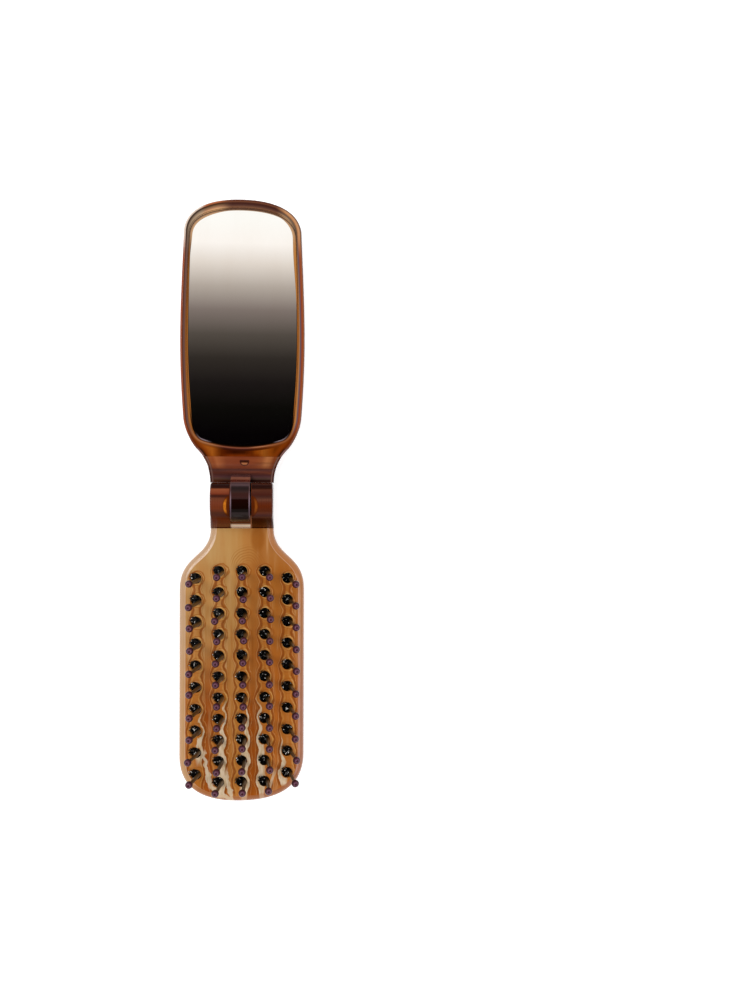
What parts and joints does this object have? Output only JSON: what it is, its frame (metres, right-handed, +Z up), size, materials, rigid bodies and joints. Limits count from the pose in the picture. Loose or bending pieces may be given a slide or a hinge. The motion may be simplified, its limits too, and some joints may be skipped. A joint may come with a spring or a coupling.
{
  "type": "folding hairbrush with mirror",
  "caption": "Pocket hairbrush that folds: a plate with bristle tufts and ball-tipped pins, hinged to a mirror in a plastic tray that closes over the pins.",
  "frame": {"origin": "centre of the back of the opened brush, straight under the hinge axis", "axes": "+X is the width, +Y runs from the hinge along the mirror half, +Z is up from the back to the bristle tips"},
  "size_m": [0.037, 0.18, 0.0195],
  "materials": {
    "caramel": "gloss, translucent, streaked",
    "dark_brown": "gloss, translucent",
    "amber": "gloss, translucent",
    "glue": "clear",
    "silvered_glass": "mirror",
    "bristle": "satin"
  },
  "bodies": {
    "brush_half": {"brush_body": "caramel", "hinge_clevis": "dark_brown", "tuft_1_01": "bristle", "tuft_1_02": "bristle", "tuft_1_03": "bristle", "tuft_1_04": "bristle", "tuft_1_05": "bristle", "tuft_1_06": "bristle", "tuft_1_07": "bristle", "tuft_1_08": "bristle", "tuft_1_09": "bristle", "tuft_1_10": "bristle", "tuft_2_01": "bristle", "tuft_2_02": "bristle", "tuft_2_03": "bristle", "tuft_2_04": "bristle", "tuft_2_05": "bristle", "tuft_2_06": "bristle", "tuft_2_07": "bristle", "tuft_2_08": "bristle", "tuft_2_09": "bristle", "tuft_2_10": "bristle", "tuft_2_11": "bristle", "tuft_3_01": "bristle", "tuft_3_02": "bristle", "tuft_3_03": "bristle", "tuft_3_04": "bristle", "tuft_3_05": "bristle", "tuft_3_06": "bristle", "tuft_3_07": "bristle", "tuft_3_08": "bristle", "tuft_3_09": "bristle", "tuft_3_10": "bristle", "tuft_3_11": "bristle", "tuft_4_01": "bristle", "tuft_4_02": "bristle", "tuft_4_03": "bristle", "tuft_4_04": "bristle", "tuft_4_05": "bristle", "tuft_4_06": "bristle", "tuft_4_07": "bristle", "tuft_4_08": "bristle", "tuft_4_09": "bristle", "tuft_4_10": "bristle", "tuft_4_11": "bristle", "tuft_5_01": "bristle", "tuft_5_02": "bristle", "tuft_5_03": "bristle", "tuft_5_04": "bristle", "tuft_5_05": "bristle", "tuft_5_06": "bristle", "tuft_5_07": "bristle", "tuft_5_08": "bristle", "tuft_5_09": "bristle", "tuft_5_10": "bristle"},
    "mirror_half": {"hinge_leaf": "dark_brown", "mirror_shell": "amber", "mirror_glue": "glue", "mirror_glass": "silvered_glass"}
  },
  "joints": [
    {"name": "fold_hinge", "type": "hinge", "parent": "brush_half", "child": "mirror_half", "pos_m": [0, 0, 0.013], "axis": [1, 0, 0], "range_deg": [0, 180]}
  ]
}
